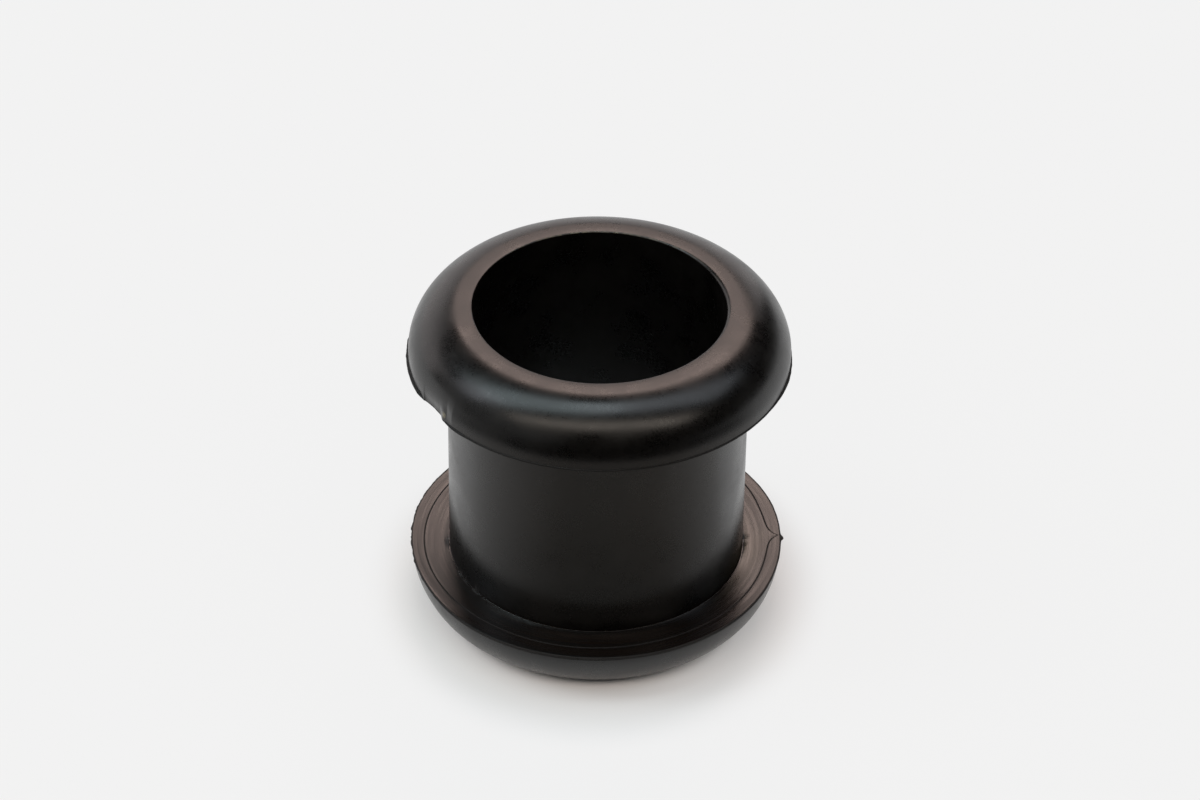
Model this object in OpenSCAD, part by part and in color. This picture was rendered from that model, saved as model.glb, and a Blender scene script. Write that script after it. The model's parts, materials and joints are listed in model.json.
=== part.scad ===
// Rubber board grommet: one moulded spool with a round bore, a groove that
// grips the edge of a round hole, and a domed flange at each end.
// It stands on the flat ring of its lower flange, and +Z runs up the bore.

/* [Main sizes] */
// Diameter over the rims of the flanges
flange_d = 26; // [25:0.5:34]
// Thickness of each flange, from the groove to the flat ring
flange_t = 4; // [3:0.25:6]
// Width of the groove, which is the thickness of the board it grips
groove_w = 16; // [6:0.5:25]
// Diameter of the neck, which fills the hole in the board
neck_d = 20.5; // [20:0.25:22.5]
// Diameter of the bore
bore_d = 17.3; // [14:0.1:18]

/* [Flange form] */
// Outer diameter of the flat ring round each mouth of the bore
land_d = 19.2; // [18.6:0.1:20.5]
// Height of the straight lip at the upper rim
lip_h = 0.6; // [0.3:0.1:1.2]
// Height of the straight lip at the lower rim
lower_lip_h = 0.2; // [0.2:0.1:1.2]
// Power of the dome's curve, where 2 gives an ellipse
dome_power = 1.87; // [1.6:0.01:2.4]
// Rounding of the edge at each mouth of the bore
mouth_r = 0.15; // [0.05:0.05:0.3]
// Fillet in the corner between the neck and each flange
root_r = 0.1; // [0.05:0.05:0.4]

/* [Mould marks] */
// How far the parting flash stands out past each rim
flash_out = 0.12; // [0.05:0.01:0.25]
// Thickness of the parting flash where it leaves the rim
flash_t = 0.15; // [0.08:0.01:0.3]
// Diameter of the trimmed gate nib on the lower rim
nib_d = 0.5; // [0.3:0.05:0.8]
// Thickness of the gate nib
nib_t = 0.3; // [0.2:0.05:0.5]
// How far the nib stands out past the flash
nib_out = 0.12; // [0.05:0.01:0.3]
// Direction of the nib, in degrees round from +X
nib_angle = 2; // [0:1:359]

/* [Wear] */
// Length of the torn notch along the upper rim
notch_l = 2.6; // [1:0.1:4]
// Depth of the notch, in from the rim
notch_depth = 0.4; // [0.2:0.05:0.9]
// Height at which the notch runs out on the side of the dome
notch_h = 1.9; // [1.4:0.1:2.4]
// Direction of the notch, in degrees round from +X
notch_angle = 211; // [0:1:359]

/* [Hidden] */
$fn = 96;
rubber = [0.06, 0.06, 0.065];
dome_steps = 24;
corner_steps = 4;

flange_r = flange_d / 2;
neck_r = neck_d / 2;
bore_r = bore_d / 2;
land_r = land_d / 2;
groove_floor = flange_t;
groove_top = flange_t + groove_w;

// Points of a round corner about a centre, between two directions
function corner(centre, r, from, to) = [
    for (i = [0:corner_steps])
        let (a = from + (to - from) * i / corner_steps)
        centre + r * [cos(a), sin(a)]
];

// Point of a dome, from the flat ring at 0 degrees to its lip at 90
function dome_point(a, lip) = [
    land_r + (flange_r - land_r) * pow(sin(a), 2 / dome_power),
    lip + (flange_t - lip) * pow(cos(a), 2 / dome_power)
];

// Radius of the upper dome at a height above the groove's face
function dome_radius(h) =
    let (rise = (h - lip_h) / (flange_t - lip_h))
    land_r + (flange_r - land_r) * pow(1 - pow(rise, dome_power), 1 / dome_power);

// Outline of a flange from the mouth of the bore round to the neck, where
// x is the radius and y the height above the groove's face
function flange_outline(lip) = concat(
    corner([bore_r + mouth_r, flange_t - mouth_r], mouth_r, 180, 90),
    [for (i = [0:dome_steps]) dome_point(90 * i / dome_steps, lip)],
    [
        [flange_r, flash_t],
        [flange_r + flash_out, flash_t / 3],
        [flange_r + flash_out, 0]
    ],
    corner([neck_r + root_r, -root_r], root_r, 90, 180)
);

// Puts an outline at a height, facing up (side 1) or down (side -1)
function place(points, height, side) = [
    for (p = points) [p.x, height + side * p.y]
];

function backwards(points) = [
    for (i = [len(points) - 1:-1:0]) points[i]
];

// Spool turned from one closed outline, so the bore is a true cylinder
module spool() {
    outline = concat(
        place(flange_outline(lower_lip_h), groove_floor, -1),
        backwards(place(flange_outline(lip_h), groove_top, 1))
    );
    rotate_extrude() polygon(outline);
}

// Small round stub left on the lower rim where the gate was trimmed
module gate_nib() {
    reach = flange_r + flash_out + nib_out - nib_d / 2;
    rotate([0, 0, nib_angle])
        translate([reach, 0, groove_floor - nib_t])
            cylinder(d = nib_d, h = nib_t, $fn = 24);
}

// Cutter for the notch: its walls lean outwards, so it runs out up the dome
module notch_cut() {
    below = flange_t / 4;
    clear = notch_depth + flash_out + 1;
    lean = atan((dome_radius(notch_h) - flange_r + notch_depth) / notch_h);
    plan = [
        [clear, -0.5 * notch_l],
        [0.25 * notch_depth, -0.42 * notch_l],
        [0, 0],
        [0.1 * notch_depth, 0.2 * notch_l],
        [0.65 * notch_depth, 0.42 * notch_l],
        [clear, 0.6 * notch_l]
    ];
    rotate([0, 0, notch_angle])
        translate([flange_r - notch_depth, 0, groove_top])
            rotate([0, lean, 0])
                translate([0, 0, -below])
                    linear_extrude(flange_t + 2 * below) polygon(plan);
}

// Whole moulding
module grommet() {
    color(rubber)
        difference() {
            union() {
                spool();
                gate_nib();
            }
            notch_cut();
        }
}

grommet();
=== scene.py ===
import json
import math
from dataclasses import dataclass
from typing import Callable

import bpy
import numpy as np
from mathutils import Euler, Matrix, Vector


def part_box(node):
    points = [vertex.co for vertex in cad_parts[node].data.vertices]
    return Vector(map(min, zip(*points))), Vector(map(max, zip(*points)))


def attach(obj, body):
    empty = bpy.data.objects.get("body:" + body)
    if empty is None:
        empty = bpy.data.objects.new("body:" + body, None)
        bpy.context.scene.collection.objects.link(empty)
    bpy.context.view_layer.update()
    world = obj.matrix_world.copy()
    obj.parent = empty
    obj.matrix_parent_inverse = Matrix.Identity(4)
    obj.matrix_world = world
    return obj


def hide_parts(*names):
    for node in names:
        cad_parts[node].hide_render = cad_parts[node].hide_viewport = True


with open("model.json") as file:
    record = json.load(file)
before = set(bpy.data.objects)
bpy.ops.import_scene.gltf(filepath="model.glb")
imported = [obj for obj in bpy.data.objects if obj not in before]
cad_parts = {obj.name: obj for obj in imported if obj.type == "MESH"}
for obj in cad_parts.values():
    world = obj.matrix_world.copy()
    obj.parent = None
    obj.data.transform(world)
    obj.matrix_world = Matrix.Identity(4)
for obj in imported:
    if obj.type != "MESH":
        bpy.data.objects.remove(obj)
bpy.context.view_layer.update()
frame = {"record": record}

MM = 0.001

# Sizes of the solid, in millimetres
LOWEST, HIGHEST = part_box("grommet")
BORE_R = frame["record"]["mounts"][0]["dims"]["r_mm"]
BASE_Z = LOWEST.z / MM
TOP_Z = HIGHEST.z / MM
FLASH_R = -LOWEST.x / MM
NIB_R = HIGHEST.x / MM
FLANGE_T = 4.0
NECK_R = 10.25
LAND_R = 9.6
LIP_H = 0.6
DOME_POWER = 1.87
FLASH_OUT = 0.12
FLASH_T = 0.15
NIB_T = 0.3
RIM_R = FLASH_R - FLASH_OUT
GROOVE_FLOOR = BASE_Z + FLANGE_T
GROOVE_TOP = TOP_Z - FLANGE_T

# Directions of the solid's marks, in degrees round from +X
NIB_ANGLE = 2.0
NOTCH_ANGLE = 211.0

# The values from here to the burrs are the skin's own. A bump is given as size,
# direction and width, and waves as seed, fewest and most to the turn, or without
# the seed where that has its own name
LOWER_LIP_H = 0.04
ROOT_R = 0.05

# Gap that the skin keeps to the sides of the solid's box
BOX_GAP = 0.01

# The upper dome leans to the right, most of all at its rim, and its mouth and
# flat ring are drawn in
DOME_SHIFT = 0.09
RIM_POWER = 3
SQUEEZE_LEFT = 0.13
SQUEEZE_RIGHT = 0.05

# Edge of the bore: its rounding, where it is worn, and its pale patches, which are a painted highlight
# along the back of the rounding, with the share of pale for each point of the rounding
MOUTH_R = 0.1
MOUTH_WEAR = ((0.22, 5.0, 40.0),)
MOUTH_PALE = (0.0, 0.0, 0.2, 0.6, 0.8, 0.4, 0.0)
MOUTH_PALE_AT = ((1.0, 92.0, 44.0),)
MOUTH_PALE_LEVEL = 0.45
MOUTH_PALE_SWING = 0.9
MOUTH_PALE_WAVES = (41, 20, 150)

# Rims: their level, how far they wander, and the dips in the lower one
LOWER_RIM = 0.02
LOWER_RIM_WANDER = 0.015
LOWER_RIM_WAVES = (3, 2, 9)
LOWER_DIPS = ((0.17, 205.0, 16.0), (0.1, 183.0, 14.0), (0.13, 345.0, 22.0), (0.06, 2.0, 13.0))
UPPER_RIM = -0.02
UPPER_RIM_WANDER = 0.02
UPPER_RIM_WAVES = (13, 2, 9)

# Parting flash: how far it stands out, and how it wanders and frays
FLASH_LEAST = 0.01
FLASH_WANDER = 0.016
FLASH_WANDER_WAVES = (2, 16)
FLASH_GRAIN = 0.01
FLASH_GRAIN_WAVES = (30, 120)
FLASH_FRAY = 0.045
FLASH_FRAY_WAVES = (25, 220)
FLASH_DULL = 0.8
FLASH_LEDGE = 0.04
LOWER_FLASH = 0.06
LOWER_FLASH_SEED = 7
LOWER_FRAY_AT = ((1.0, 178.0, 34.0),)
UPPER_FLASH = 0.04
UPPER_FLASH_SEED = 17
UPPER_FRAY_AT = ((1.0, 178.0, 6.0),)
UPPER_FLASH_BUMPS = ((0.06, NOTCH_ANGLE + 12.0, 5.0), (0.09, 346.0, 12.0))

# Gate nib on the lower rim
NIB_OUT = 0.2
NIB_AT = ((1.0, NIB_ANGLE - 0.7, 1.0),)

# Torn notch, as a dent, a cut and a gouge. Each slope runs between two angles
# from the notch's middle
DENT_DEPTH = 0.1
DENT_SHIFT = -1.0
DENT_WIDTH = 8.0
DENT_H = 1.9
CUT_DEPTH = 0.22
CUT_LEFT = -5.7
CUT_LEFT_RUN = 4.9
CUT_LEFT_LEAN = 2.0
CUT_LEAN_H = 0.5
CUT_RIGHT = (6.0, 2.8)
CUT_H = 0.75
GOUGE_DEPTH = 0.17
GOUGE_LEFT = (-7.0, 7.5)
GOUGE_RIGHT = (10.5, 7.3)
GOUGE_POWER = 1.5
GOUGE_MIDDLE = 0.9
GOUGE_H = 0.75

# Flash next to the notch: tall from a direction up to it, gone across it
TALL_FLASH = 0.12
TALL_FLASH_FROM = 171.0
TALL_FLASH_START = (0.0, 3.0)
TALL_FLASH_STOP = (5.0, -5.0)
TORN_START = (-9.5, -5.5)
TORN_STOP = (7.6, 6.4)
TORN_REACH = 0.05
TORN_BEAD = 0.35

# Fine line turned into each face of the groove; the lower one runs out to the nib
LINE_R = 11.98
LINE_W = 0.05
LINE_DEPTH = 0.035
LINE_GUARD = 0.015
LINE_DULL = 1.0
LINE_WANDER = 0.05
LOWER_LINE_WAVES = (31, 1, 7)
UPPER_LINE_WAVES = (33, 1, 7)
LINE_PEAK = 0.78
LINE_PEAK_WIDTH = 2.2
LINE_BUMPS = ((0.22, NIB_ANGLE + 30.0, 12.0),)

# Outside a radius each face of the groove slopes a little into the groove
RISE_R = 11.3
RISE = 0.015

# Painted reflection, paler towards the foot of the neck, and dullness on the lower face of the groove
FACE_PAINTED_REFLECTION = ((0.3, 353.0, 19.0),)
FACE_PAINTED_REFLECTION_RISE = 1.5
FACE_DULL = ((0.25, 203.0, 30.0),)

# Burrs at the foot of the neck, each a bump, its steady share and its waves
FOOT_W = 0.12
BURR = 0.012
BURRS = (
    ((0.04, 225.0, 40.0), 0.0, (5, 60, 180)),
    ((0.07, 184.0, 2.2), 0.3, (19, 90, 200)),
    ((0.1, 357.0, 7.0), 0.2, (9, 90, 260)),
)
BURR_SLOPE = 0.6
BURR_DULL = 12.0

# Steps between the columns of points, in degrees. They are finer over some
# spans, each given as its middle and half its width
COARSE_STEP = 0.75
FINE_STEP = 0.2
FINE_SPANS = ((NOTCH_ANGLE + 1.0, 11.0), (NIB_ANGLE, 5.0))

# Rows of points round the section, as counts or as shares of a length, and the
# length without rows that the bore has at each end
DOME_ROWS = 26
LIP_PARTS = (0.75, 0.5)
OVER_BEAD = 1.25
FLASH_ROWS = 9
OUTER_FACE_PARTS = (0.66, 0.33, 0.0)
FACE_ROWS = 6
ROOT_ROWS = 4
NECK_ROWS = 16
BORE_ROWS = 8
BORE_END = 0.5

# Rubber: its grain, how rough it is, and its tones
RUBBER_IOR = 1.5
MOTTLE = {"Scale": 420.0, "Detail": 3.0, "Roughness": 0.6}
GRAIN = {"Scale": 5200.0, "Detail": 2.0, "Roughness": 0.7}
GRAIN_SHARE = 0.35
NOISE_SPAN = (0.3, 0.7)
ROUGHNESS = (0.22, 0.38)
DULL_ROUGHNESS = 0.8
TONE_SPAN = (0.32, 0.68)
RUBBER_TONES = ((0.0, (0.0006, 0.0005, 0.0004)), (1.0, (0.0042, 0.0034, 0.0028)))
BUMP_STRENGTH = 0.3
BUMP_HEIGHT = 0.01

# Lower face of the groove: how far its looks reach up and down, its streaks, how
# fine they are across and how short along, and how much less rough it is inside
FACE_BAND = 0.13
STREAKS = {"Scale": 1.0, "Detail": 3.0, "Roughness": 0.65}
RING_SCALE = 4200.0
RING_TURN = 1.6
STREAK_SPAN = (0.36, 0.64)
FACE_ROUGHNESS = (0.2, 0.36)
FACE_TONES = ((0.0, (0.007, 0.004, 0.0028)), (1.0, (0.0006, 0.0004, 0.0003)))
LESS_ROUGH = (-0.05, -0.01)

# Painted highlight, a pale spot at the lower end of the notch, in millimetres
HIGHLIGHT_SPOT_AT = (-10.18, -7.65, 20.45)
HIGHLIGHT_SPOT_R = 0.28
HIGHLIGHT_SPOT_CORE = 0.3
# Pale colour of the painted highlights and the painted reflection
PAINTED_LIGHT_COLOUR = (0.16, 0.14, 0.09, 1)

# Floor, in metres, and how it passes into the background over one reach. The background's glow begins
# just outside the part and grows outward in an oval, painting light into the part's shadow
FLOOR_HALF = 3.0
FLOOR_REACH = 0.02
FLOOR_OVAL = (1.09, 1.0, 1.0)
FLOOR_SHARES = ((0.52, 0.0), (0.62, 0.35), (0.68, 0.36), (0.92, 0.92))
# Painted shade: the floor turns warmer close to the part, a painted warm tint in its shadow
FLOOR_TONE_AND_SHADOW_TINT = ((0.62, (0.895, 0.854, 0.827)), (0.85, (0.895, 0.895, 0.895)))
BACKGROUND = (0.888, 0.888, 0.888, 1)

# Sheets that only show in reflections, as painted shade in what the neck and the domes' lips reflect, in
# millimetres and degrees
MAT_HALF = 150.0
MAT_DEPTH = 200.0
MAT_LIFT = 0.02
MAT_TONES = (
    (0.18, (0.14, 0.125, 0.11)),
    (0.24, (0.33, 0.3, 0.27)),
    (0.32, (0.56, 0.52, 0.48)),
    (0.4, (0.42, 0.385, 0.36)),
    (0.5, (0.14, 0.14, 0.14)),
)
CARD_R = 60.0
CARD_H = 26.0
CARD_ARC = (190.0, 350.0)
CARD_POINTS = 31
CARD_TONES = ((0.0, (0.01, 0.01, 0.01)), (1.0, (0.01, 0.01, 0.01)))
SHEET_REACH = 100.0
SHEET_EDGE = (15.0, 19.0)
SHEET_ANGLE = 277.0
SHEET_SIDES = (110.0, 30.0)

# Point that the lamps and the camera face, in metres
SUBJECT = Vector((0, 0, (TOP_Z - BASE_Z) / 2 * MM))

# Lamps: name, azimuth and elevation in degrees, width and height in metres,
# radiance and colour
LAMPS = (
    ("overhead_left", 181, 69, 0.54, 1.18, 2.35, (0.81, 0.958, 1.0)),
    ("overhead_right", 8, 67, 0.49, 1.21, 1.5, (0.868, 0.924, 1.0)),
    ("front_strip", 272, 52, 2.3, 0.29, 2.5, (1.0, 0.89, 0.783)),
    ("left", 182, 39, 0.31, 0.49, 2.26, (0.894, 0.92, 1.0)),
    ("back", 81.5, 45, 0.71, 0.37, 3.65, (1.0, 0.78, 0.7)),
    ("back_wall", 112, 11, 2.7, 0.85, 0.91, (1.0, 0.934, 0.926)),
    ("left_wall", 205, 18, 1.8, 0.75, 0.25, (1.0, 1.0, 1.0)),
)
LAMP_DISTANCE = 1.2
WATTS = 4.0
ROOM_GLOW = (0.003, 0.003, 0.003, 1)

# Camera, from the outline of the two flanges in the photograph, in degrees,
# millimetres and pixels
CAMERA_ELEVATION = 37.79
CAMERA_DISTANCE = 298.2
CAMERA_ROLL = 0.709
CLIP_START = 10.0
CLIP_END = 20000.0
SENSOR_WIDTH = 36.0
FOCAL_PIXELS = 4328.0
IMAGE_WIDTH = 1200
IMAGE_HEIGHT = 800
SUBJECT_PIXEL = (597.24, 446.74)


def angle_from(azimuth, centre):
    """Signed angle in degrees from a direction, between -180 and 180."""
    return (np.degrees(azimuth) - centre + 180.0) % 360.0 - 180.0


def bump(x, width):
    """Smooth bump of height 1 about zero."""
    return np.exp(-((x / width) ** 2))


def slope(x, start, stop):
    """Straight slope from 0 at its start to 1 at its stop."""
    return np.clip((x - start) / (stop - start), 0, 1)


def azimuths():
    """Directions of the columns, closer together at the notch and the nib."""
    coarse = np.arange(0.0, 360.0, COARSE_STEP)
    keep = np.ones(coarse.shape, bool)
    columns = []
    for middle, half in FINE_SPANS:
        columns.append(np.arange(middle - half, middle + half, FINE_STEP) % 360.0)
        keep &= abs(angle_from(np.radians(coarse), middle)) > half + FINE_STEP
    columns.append(coarse[keep])
    return np.radians(np.sort(np.concatenate(columns)))


COLUMNS = azimuths()


def waves(seed, fewest, most):
    """Uneven wavy line round the part, made of whole waves, about -1 to 1."""
    draw = np.random.default_rng(seed)
    total = np.zeros_like(COLUMNS)
    power = 0.0
    for count in range(fewest, most + 1):
        size = 1.0 / math.sqrt(count)
        total += size * np.sin(count * COLUMNS + draw.uniform(0, 2 * math.pi))
        power += size * size / 2
    return total / (2.0 * math.sqrt(power))


def around(bumps):
    """Sum of bumps round the part, each with a size, a direction and a width."""
    return sum(size * bump(angle_from(COLUMNS, centre), width) for size, centre, width in bumps)


def room():
    """Radius of the solid's box in each direction, less the gap."""
    right = np.cos(COLUMNS) / NIB_R
    left = -np.cos(COLUMNS) / FLASH_R
    across = abs(np.sin(COLUMNS)) / FLASH_R
    return 1 / np.maximum(np.maximum(right, left), across) - BOX_GAP


def corner(radius, height, size, start, stop, steps):
    """Points of a round corner in the section, from its centre and its size."""
    turn = np.radians(np.linspace(start, stop, steps))
    return [(radius + size * math.cos(a), height + size * math.sin(a)) for a in turn]


def row(radius, height, dull=0.0, pale=0.0):
    """One ring of points, with its radius, height and looks in each column."""
    values = (radius, height, dull, pale)
    return [np.broadcast_to(np.asarray(value, float), COLUMNS.shape) for value in values]


def face_height(radius):
    """Height of a groove's face at a radius, below zero where it rises into the groove."""
    return -RISE * np.maximum(radius - RISE_R, 0.0)


# A value round the part is one number, or one for each column
Round = float | np.ndarray


@dataclass
class Flange:
    """Form of one flange: its lip's height, how far its rim stands out and is pulled in, how far its
    mouth is squeezed, its flash's reach and height, its line's radius, its burr's height, its painted
    highlight and painted reflection, and its dull parts."""

    lip: float
    rim: Round
    pull: Callable
    squeeze: Round
    reach: Round
    bead: Round
    line: Round
    burr: Round
    pale: Round
    painted_reflection: Round
    dull: Round

    def edge(self, height=0.0):
        """Radius of the rim at a height above the groove's face."""
        return RIM_R + self.rim - self.pull(height)

    def mouth_rows(self):
        """Rounded edge of the bore, and the middle of the flat ring."""
        mouth = MOUTH_R + around(MOUTH_WEAR)
        inner = BORE_R - self.squeeze + mouth
        edge = corner(inner, FLANGE_T - mouth, mouth, 180, 90, len(MOUTH_PALE))
        # Painted highlight: pale patches along the rounding of the mouth
        rows = [row(r, h, 0.0, self.pale * share) for (r, h), share in zip(edge, MOUTH_PALE)]
        rows.append(row((inner + LAND_R - self.squeeze) / 2, FLANGE_T))
        return rows

    def dome_rows(self):
        """Dome from the flat ring down to the lip, or to the top of the flash."""
        rows = []
        land_r = LAND_R - self.squeeze
        lowest = float(np.min(self.bead))
        for step in range(DOME_ROWS + 1):
            a = math.radians(90.0 * step / DOME_ROWS)
            grown = math.sin(a) ** (2 / DOME_POWER)
            left = max(math.cos(a), 0.0) ** (2 / DOME_POWER)
            height = max(self.lip + (FLANGE_T - self.lip) * left, lowest)
            push = (self.rim - self.pull(height)) * grown ** RIM_POWER
            rows.append(row(land_r + (RIM_R - land_r) * grown + push, height))
        return rows

    def lip_rows(self):
        """Straight lip, where it stands higher than the flash."""
        if self.lip <= np.max(self.bead):
            return []
        heights = [part * self.lip for part in LIP_PARTS]
        rows = [row(self.edge(height), height) for height in heights]
        rows.append(row(self.edge(), OVER_BEAD * self.bead))
        return rows

    def flash_rows(self):
        """Bead of the parting flash, which is a half circle of height 1 stretched
        to its reach and height, and the ledge behind it."""
        rows = []
        edge = self.edge()
        foot = face_height(edge)
        for r, h in corner(0.0, 0.5, 0.5, 90, -90, FLASH_ROWS):
            rows.append(row(edge + 2 * self.reach * r, foot + h * (self.bead - foot), FLASH_DULL))
        rows.append(row(edge - FLASH_LEDGE, foot, FLASH_DULL))
        ledge = edge - 2 * FLASH_LEDGE
        rows.append(row(ledge, face_height(ledge)))
        return rows

    def face_rows(self):
        """Face of the groove, from the ledge in to the foot, with its fine line."""
        rows = []
        ledge = self.edge() - 2 * FLASH_LEDGE
        outside = self.line + LINE_W + LINE_GUARD
        inside = self.line - LINE_W - LINE_GUARD
        for part in OUTER_FACE_PARTS:
            r = outside + (ledge - outside) * part
            rows.append(row(r, face_height(r), self.dull))
        level = face_height(self.line)
        rows.append(row(self.line + LINE_W, level, LINE_DULL))
        rows.append(row(self.line, level + LINE_DEPTH, LINE_DULL))
        rows.append(row(self.line - LINE_W, level, LINE_DULL))
        foot = NECK_R + ROOT_R + FOOT_W
        for part in np.linspace(1.0, 0.0, FACE_ROWS):
            r = foot + (inside - foot) * part
            # Painted reflection: paler towards the foot of the neck
            pale = self.painted_reflection * min(1.0, FACE_PAINTED_REFLECTION_RISE * (1.0 - part))
            rows.append(row(r, face_height(r), self.dull, pale))
        return rows

    def foot_rows(self):
        """Burr and fillet in the corner at the neck."""
        root = NECK_R + ROOT_R
        dull = np.clip(BURR_DULL * self.burr, 0, 1)
        rows = [row(root + FOOT_W / 2, -BURR_SLOPE * self.burr, dull)]
        for r, h in corner(root, -ROOT_R, ROOT_R, 90, 180, ROOT_ROWS):
            rows.append(row(r, np.minimum(h, -self.burr)))
        return rows

    def rows(self, face, side):
        """All rows from the mouth to the neck, up (1) or down (-1) from a face."""
        outside = self.mouth_rows() + self.dome_rows() + self.lip_rows() + self.flash_rows()
        rows = outside + self.face_rows() + self.foot_rows()
        return [[radius, face + side * height, dull, pale] for radius, height, dull, pale in rows]


def flash_reach(seed, level, fray_at):
    """How far the flash stands out past a rim, frayed over one stretch."""
    wander = FLASH_WANDER * waves(seed, *FLASH_WANDER_WAVES)
    grain = FLASH_GRAIN * waves(seed + 1, *FLASH_GRAIN_WAVES)
    fray = FLASH_FRAY * around(fray_at) * waves(seed + 2, *FLASH_FRAY_WAVES)
    return np.maximum(level + wander + grain + fray, FLASH_LEAST)


def lower_flange():
    """Lower flange, with the gate nib, the dips and the burrs."""
    rim = LOWER_RIM + LOWER_RIM_WANDER * waves(*LOWER_RIM_WAVES) - around(LOWER_DIPS)
    nib = around(NIB_AT)
    reach = flash_reach(LOWER_FLASH_SEED, LOWER_FLASH, LOWER_FRAY_AT) + NIB_OUT * nib
    peak = LINE_PEAK * np.exp(-abs(angle_from(COLUMNS, NIB_ANGLE)) / LINE_PEAK_WIDTH)
    burr = BURR + sum(around((at,)) * (steady + abs(waves(*ripple))) for at, steady, ripple in BURRS)
    flange = Flange(
        lip=LOWER_LIP_H,
        rim=rim,
        pull=lambda height: 0.0,
        squeeze=0.0,
        reach=np.minimum(reach, room() - RIM_R - rim),
        bead=FLASH_T + (NIB_T - FLASH_T) * nib,
        line=LINE_R + LINE_WANDER * waves(*LOWER_LINE_WAVES) + peak + around(LINE_BUMPS),
        burr=burr,
        pale=0.0,
        painted_reflection=around(FACE_PAINTED_REFLECTION),
        dull=around(FACE_DULL),
    )
    return flange.rows(GROOVE_FLOOR, -1)


def notch_pull(height):
    """How far the tear pulls the upper rim in, at a height above the groove."""
    turn = angle_from(COLUMNS, NOTCH_ANGLE)
    dent = DENT_DEPTH * bump(turn - DENT_SHIFT, DENT_WIDTH) * math.exp(-((height / DENT_H) ** 2))
    run = CUT_LEFT_RUN + CUT_LEFT_LEAN * min(height, CUT_LEAN_H)
    left = np.sqrt(slope(turn, CUT_LEFT, CUT_LEFT + run))
    right = slope(turn, *CUT_RIGHT)
    smooth = right * right * (3 - 2 * right)
    cut = CUT_DEPTH * left * smooth * math.exp(-((height / CUT_H) ** 2))
    swell = slope(turn, *GOUGE_LEFT) ** GOUGE_POWER * slope(turn, *GOUGE_RIGHT)
    gouge = GOUGE_DEPTH * swell * math.exp(-(((height - GOUGE_MIDDLE) / GOUGE_H) ** 2))
    return dent + cut + gouge


def upper_flange():
    """Upper flange, with the torn notch and the flash next to it."""
    across = np.cos(COLUMNS)
    turn = angle_from(COLUMNS, NOTCH_ANGLE)
    rim = UPPER_RIM + UPPER_RIM_WANDER * waves(*UPPER_RIM_WAVES) + DOME_SHIFT * across
    tall = slope(angle_from(COLUMNS, TALL_FLASH_FROM), *TALL_FLASH_START) * slope(turn, *TALL_FLASH_STOP)
    whole = 1 - slope(turn, *TORN_START) * slope(turn, *TORN_STOP)
    outset = UPPER_FLASH + TALL_FLASH * tall + around(UPPER_FLASH_BUMPS)
    reach = flash_reach(UPPER_FLASH_SEED, outset, UPPER_FRAY_AT) * np.clip(whole, TORN_REACH, 1)
    # Patches of painted highlight round the back of the mouth
    patches = np.clip(MOUTH_PALE_LEVEL + MOUTH_PALE_SWING * waves(*MOUTH_PALE_WAVES), 0, 1)
    left = SQUEEZE_LEFT * np.maximum(-across, 0.0) ** 2
    right = SQUEEZE_RIGHT * np.maximum(across, 0.0) ** 2
    flange = Flange(
        lip=LIP_H,
        rim=rim,
        pull=notch_pull,
        squeeze=left + right,
        reach=np.minimum(reach, room() - RIM_R - rim),
        bead=FLASH_T * (TORN_BEAD + (1 - TORN_BEAD) * whole),
        line=LINE_R + LINE_WANDER * waves(*UPPER_LINE_WAVES),
        burr=BURR,
        pale=around(MOUTH_PALE_AT) * patches,
        painted_reflection=0.0,
        dull=0.0,
    )
    return flange.rows(GROOVE_TOP, 1)


def wall(radius, start, stop, count):
    """Evenly spaced rows of a straight wall between two heights, with none at
    its ends."""
    return [row(radius, z) for z in np.linspace(start, stop, count + 2)[1:-1]]


def rubber_skin():
    """Closed skin of the moulding, one ring of points for each row."""
    neck = wall(NECK_R, GROOVE_FLOOR + ROOT_R, GROOVE_TOP - ROOT_R, NECK_ROWS)
    bore = wall(BORE_R, TOP_Z - BORE_END, BASE_Z + BORE_END, BORE_ROWS)
    rows = lower_flange() + neck + upper_flange()[::-1] + bore
    radius, height, dull, pale = (np.array(part) for part in zip(*rows))
    points = np.stack([radius * np.cos(COLUMNS), radius * np.sin(COLUMNS), height], -1) * MM
    index = np.arange(radius.size).reshape(radius.shape)
    beside = np.roll(index, -1, 1)
    above = np.roll(index, -1, 0)
    across = np.roll(beside, -1, 0)
    faces = np.stack([index, beside, across, above], -1).reshape(-1, 4)
    mesh = bpy.data.meshes.new("grommet_skin")
    mesh.from_pydata(points.reshape(-1, 3).tolist(), [], faces.tolist())
    for name, values in (("dull", dull), ("pale", pale)):
        mesh.attributes.new(name, "FLOAT", "POINT").data.foreach_set("value", values.ravel())
    mesh.polygons.foreach_set("use_smooth", [True] * len(mesh.polygons))
    mesh.update()
    return put("grommet_skin", mesh)


def put(name, data):
    """New object in the scene."""
    thing = bpy.data.objects.new(name, data)
    bpy.context.scene.collection.objects.link(thing)
    return thing


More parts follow.
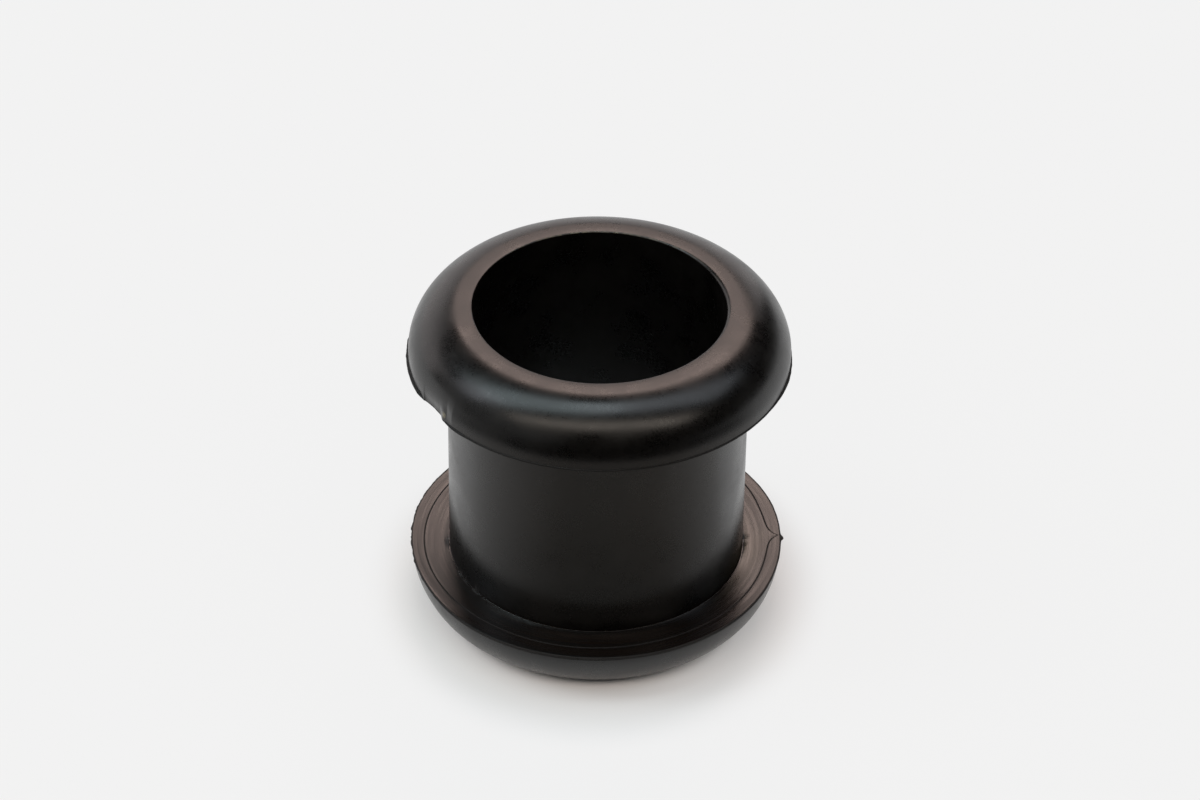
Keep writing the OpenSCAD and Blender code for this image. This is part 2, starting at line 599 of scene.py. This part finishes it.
class Nodes:
    """Short way to write a node tree, in which a value is a constant or the
    output of another node."""

    def __init__(self, owner):
        owner.use_nodes = True
        self.tree = owner.node_tree
        self.tree.nodes.clear()

    def add(self, kind, inputs=None, **settings):
        """New node with its settings, and its inputs joined or set."""
        node = self.tree.nodes.new(kind)
        for name, value in settings.items():
            setattr(node, name, value)
        for slot, value in (inputs or {}).items():
            if isinstance(value, bpy.types.NodeSocket):
                self.tree.links.new(value, node.inputs[slot])
            else:
                node.inputs[slot].default_value = value
        return node

    def number(self, operation, *values, **settings):
        """Number worked out from one or more numbers."""
        slots = dict(enumerate(values))
        return self.add("ShaderNodeMath", slots, operation=operation, **settings).outputs[0]

    def vector(self, operation, *values):
        """Vector worked out from one or two vectors."""
        slots = dict(enumerate(values))
        return self.add("ShaderNodeVectorMath", slots, operation=operation).outputs["Vector"]

    def measure(self, operation, *values):
        """Number worked out from one or two vectors."""
        slots = dict(enumerate(values))
        return self.add("ShaderNodeVectorMath", slots, operation=operation).outputs["Value"]

    def span(self, value, source, target=(0.0, 1.0)):
        """Value moved from one span of numbers to another, and held at its ends."""
        slots = {"Value": value}
        for name, (low, high) in (("From", source), ("To", target)):
            slots[name + " Min"] = low
            slots[name + " Max"] = high
        return self.add("ShaderNodeMapRange", slots).outputs["Result"]

    def blend(self, share, first, second):
        """Number between two others."""
        slots = {0: share, 2: first, 3: second}
        return self.add("ShaderNodeMix", slots, data_type="FLOAT").outputs[0]

    def blend_colour(self, share, first, second):
        """Colour between two others."""
        slots = {0: share, 6: first, 7: second}
        return self.add("ShaderNodeMix", slots, data_type="RGBA").outputs[2]

    def ramp(self, value, stops, interpolation="LINEAR"):
        """Colour from stops, each with a place and a colour."""
        node = self.add("ShaderNodeValToRGB", {"Fac": value})
        elements = node.color_ramp.elements
        for stop, (place, colour) in zip(elements, (stops[0], stops[-1])):
            stop.position = place
            stop.color = (*colour, 1)
        for place, colour in stops[1:-1]:
            elements.new(place).color = (*colour, 1)
        node.color_ramp.interpolation = interpolation
        return node.outputs["Color"]

    def surface(self, kind, shader):
        """Joins a shader to an output node of some kind."""
        self.add(kind, {"Surface": shader})


def new_material(name):
    """New material, and its empty node tree."""
    material = bpy.data.materials.new(name)
    return material, Nodes(material)


def rubber_grain(n, where):
    """Fine grain over faint mottling, about 0 to 1."""
    mottle = n.add("ShaderNodeTexNoise", {"Vector": where, **MOTTLE}).outputs["Fac"]
    grain = n.add("ShaderNodeTexNoise", {"Vector": where, **GRAIN}).outputs["Fac"]
    return n.blend(GRAIN_SHARE, mottle, grain)


def face_streaks(n, flat, radius):
    """Streaks that follow the turned rings of a face, about 0 to 1."""
    along = n.vector("MULTIPLY", n.vector("NORMALIZE", flat), (RING_TURN,) * 3)
    slots = {"Vector": along, "W": n.number("MULTIPLY", radius, RING_SCALE), **STREAKS}
    return n.add("ShaderNodeTexNoise", slots, noise_dimensions="4D").outputs["Fac"]


def rubber_roughness(n, on_face, grain, streak, radius):
    """Roughness, with a smoother inner face, and dull flash, line and burrs."""
    inner = n.span(radius, (NECK_R * MM, RISE_R * MM), LESS_ROUGH)
    face = n.number("ADD", n.span(streak, STREAK_SPAN, FACE_ROUGHNESS), inner)
    plain = n.blend(on_face, n.span(grain, NOISE_SPAN, ROUGHNESS), face)
    dull = n.add("ShaderNodeAttribute", attribute_name="dull").outputs["Fac"]
    return n.blend(dull, plain, DULL_ROUGHNESS)


def painted_light_share(n, where):
    """How pale the rubber is, all of it painted light: the highlight spot by the notch and the rows' own
    painted highlight and reflection.
    """
    # Painted highlight: a pale spot by the notch
    highlight_spot_distance = n.measure("DISTANCE", where, [value * MM for value in HIGHLIGHT_SPOT_AT])
    spot = n.span(highlight_spot_distance, (HIGHLIGHT_SPOT_R * MM, HIGHLIGHT_SPOT_CORE * HIGHLIGHT_SPOT_R * MM))
    pale = n.add("ShaderNodeAttribute", attribute_name="pale").outputs["Fac"]
    return n.number("ADD", spot, pale)


def rubber():
    """Satin black rubber: fine grain, faint mottling, streaks, and pale painted highlights and
    reflection.
    """
    material, n = new_material("black_rubber")
    where = n.add("ShaderNodeTexCoord").outputs["Object"]
    height = n.add("ShaderNodeSeparateXYZ", {"Vector": where}).outputs["Z"]
    on_face = n.number("COMPARE", height, GROOVE_FLOOR * MM, FACE_BAND * MM)
    flat = n.vector("MULTIPLY", where, (1.0, 1.0, 0.0))
    radius = n.measure("LENGTH", flat)
    grain = rubber_grain(n, where)
    streak = face_streaks(n, flat, radius)
    shown = n.span(n.blend(on_face, grain, streak), TONE_SPAN)
    paint = n.blend_colour(on_face, n.ramp(shown, RUBBER_TONES), n.ramp(shown, FACE_TONES))
    bumps = {"Strength": BUMP_STRENGTH, "Distance": BUMP_HEIGHT * MM, "Height": grain}
    slots = {
        # Pale painted highlights and reflection over the rubber's own tones
        "Base Color": n.blend_colour(painted_light_share(n, where), paint, PAINTED_LIGHT_COLOUR),
        "Roughness": rubber_roughness(n, on_face, grain, streak, radius),
        "Normal": n.add("ShaderNodeBump", bumps).outputs["Normal"],
        "IOR": RUBBER_IOR,
    }
    shade = n.add("ShaderNodeBsdfPrincipled", slots)
    n.surface("ShaderNodeOutputMaterial", shade.outputs["BSDF"])
    return material


def pale_floor():
    """Pale ground that passes into an even background a little way out."""
    material, n = new_material("pale_floor")
    where = n.add("ShaderNodeTexCoord").outputs["Object"]
    away = n.measure("LENGTH", n.vector("MULTIPLY", where, FLOOR_OVAL))
    reach = n.number("DIVIDE", away, FLOOR_REACH)
    # Share of glow, from just outside the part outward, which paints light into its shadow
    share = n.ramp(reach, [(place, (value,) * 3) for place, value in FLOOR_SHARES], "EASE")
    ray = n.add("ShaderNodeLightPath").outputs
    seen = n.number("ADD", ray["Is Camera Ray"], ray["Is Glossy Ray"])
    seen = n.number("ADD", seen, ray["Is Transmission Ray"])
    part = n.number("MULTIPLY", seen, share, use_clamp=True)
    # Floor tone, with a painted warm tint in the shadow close to the part
    ground = n.add("ShaderNodeBsdfDiffuse", {"Color": n.ramp(reach, FLOOR_TONE_AND_SHADOW_TINT)}).outputs["BSDF"]
    plain = n.add("ShaderNodeEmission", {"Color": BACKGROUND}).outputs["Emission"]
    mix = n.add("ShaderNodeMixShader", {0: part, 1: ground, 2: plain})
    n.surface("ShaderNodeOutputMaterial", mix.outputs[0])
    return material


def floor():
    """Plain pale floor, which keeps the part's shadow."""
    mesh = bpy.data.meshes.new("floor")
    signs = ((-1, -1), (1, -1), (1, 1), (-1, 1))
    corners = [(x * FLOOR_HALF, y * FLOOR_HALF, 0) for x, y in signs]
    mesh.from_pydata(corners, [], [(0, 1, 2, 3)])
    mesh.materials.append(pale_floor())
    ground = put("floor", mesh)


def shade_sheet(name, tones):
    """Matt sheet of painted shade for reflections, which fades in away from the part, and out to the
    sides.
    """
    material, n = new_material(name)
    where = n.add("ShaderNodeTexCoord").outputs["Object"]
    reach = n.measure("LENGTH", where)
    tone = n.ramp(n.number("DIVIDE", reach, SHEET_REACH * MM), tones)
    lean = math.radians(SHEET_ANGLE)
    ahead = n.measure("DOT_PRODUCT", where, (math.cos(lean), math.sin(lean), 0.0))
    aside = n.number("ARCCOSINE", n.number("DIVIDE", ahead, reach))
    outward = n.span(reach, [value * MM for value in SHEET_EDGE])
    sideways = n.span(aside, [math.radians(value) for value in SHEET_SIDES])
    fade = n.number("MULTIPLY", outward, sideways)
    clear = n.add("ShaderNodeBsdfTransparent").outputs["BSDF"]
    shade = n.add("ShaderNodeBsdfDiffuse", {"Color": tone}).outputs["BSDF"]
    mix = n.add("ShaderNodeMixShader", {0: fade, 1: clear, 2: shade})
    n.surface("ShaderNodeOutputMaterial", mix.outputs[0])
    return material


def unseen(name, points, faces, material):
    """Sheet of painted shade that only shows in the part's reflections."""
    mesh = bpy.data.meshes.new(name)
    mesh.from_pydata([(x * MM, y * MM, z * MM) for x, y, z in points], [], faces)
    mesh.materials.append(material)
    sheet = put(name, mesh)
    for rays in ("camera", "diffuse", "transmission", "volume_scatter", "shadow"):
        setattr(sheet, "visible_" + rays, False)


def reflected_shade_sheets():
    """Painted shade in reflections: grey sheet on the floor in front of the part, and a low dark one
    stood up in an arc, which take the glare off the neck and the domes' lips."""
    ends = ((-MAT_HALF, -MAT_DEPTH), (MAT_HALF, -MAT_DEPTH), (MAT_HALF, 0.0), (-MAT_HALF, 0.0))
    corners = [(x, y, MAT_LIFT) for x, y in ends]
    unseen("mat", corners, [(0, 1, 2, 3)], shade_sheet("grey_painted_shade", MAT_TONES))
    turn = np.radians(np.linspace(*CARD_ARC, CARD_POINTS))
    low = [(CARD_R * math.cos(a), CARD_R * math.sin(a), 0.0) for a in turn]
    high = [(x, y, CARD_H) for x, y, z in low]
    faces = [(i, i + 1, CARD_POINTS + i + 1, CARD_POINTS + i) for i in range(CARD_POINTS - 1)]
    unseen("card", low + high, faces, shade_sheet("dark_painted_shade", CARD_TONES))


def softbox(name, azimuth, elevation, width, height, radiance, colour):
    """Soft rectangular lamp that faces the part."""
    lamp = bpy.data.lights.new(name, "AREA")
    lamp.shape = "RECTANGLE"
    lamp.size = width
    lamp.size_y = height
    lamp.color = colour
    lamp.energy = radiance * width * height * WATTS
    a = math.radians(azimuth)
    e = math.radians(elevation)
    way = Vector((math.cos(a) * math.cos(e), math.sin(a) * math.cos(e), math.sin(e)))
    box = put(name, lamp)
    box.location = SUBJECT + way * LAMP_DISTANCE
    box.rotation_euler = way.to_track_quat("Z", "Y").to_matrix().to_euler()
    box.visible_camera = False


def studio():
    """Soft lamps round the part, and a dim room."""
    world = bpy.data.worlds.new("room")
    n = Nodes(world)
    glow = n.add("ShaderNodeBackground", {"Color": ROOM_GLOW, "Strength": 1.0})
    n.surface("ShaderNodeOutputWorld", glow.outputs["Background"])
    bpy.context.scene.world = world
    for lamp in LAMPS:
        softbox(*lamp)


def camera():
    """Camera at the photograph's angle, turned so the part sits in its place."""
    lens = bpy.data.cameras.new("camera")
    lens.sensor_width = SENSOR_WIDTH
    lens.lens = FOCAL_PIXELS * SENSOR_WIDTH / IMAGE_WIDTH
    lens.clip_start = CLIP_START * MM
    lens.clip_end = CLIP_END * MM
    e = math.radians(CAMERA_ELEVATION)
    back = Vector((0, -math.cos(e), math.sin(e)))
    aside = math.atan((SUBJECT_PIXEL[0] - IMAGE_WIDTH / 2) / FOCAL_PIXELS)
    below = math.atan((SUBJECT_PIXEL[1] - IMAGE_HEIGHT / 2) / FOCAL_PIXELS)
    look = back.to_track_quat("Z", "Y").to_matrix()
    roll = Matrix.Rotation(math.radians(CAMERA_ROLL), 3, "Z")
    aim = Euler((below, aside, 0)).to_matrix()
    eye = put("camera", lens)
    eye.location = SUBJECT + back * CAMERA_DISTANCE * MM
    eye.rotation_euler = (look @ roll @ aim).to_euler()
    bpy.context.scene.camera = eye


skin = rubber_skin()
skin.data.materials.append(rubber())
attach(skin, "root")
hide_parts("grommet")
floor()
reflected_shade_sheets()
studio()
camera()
bpy.context.scene.view_settings.view_transform = "Standard"
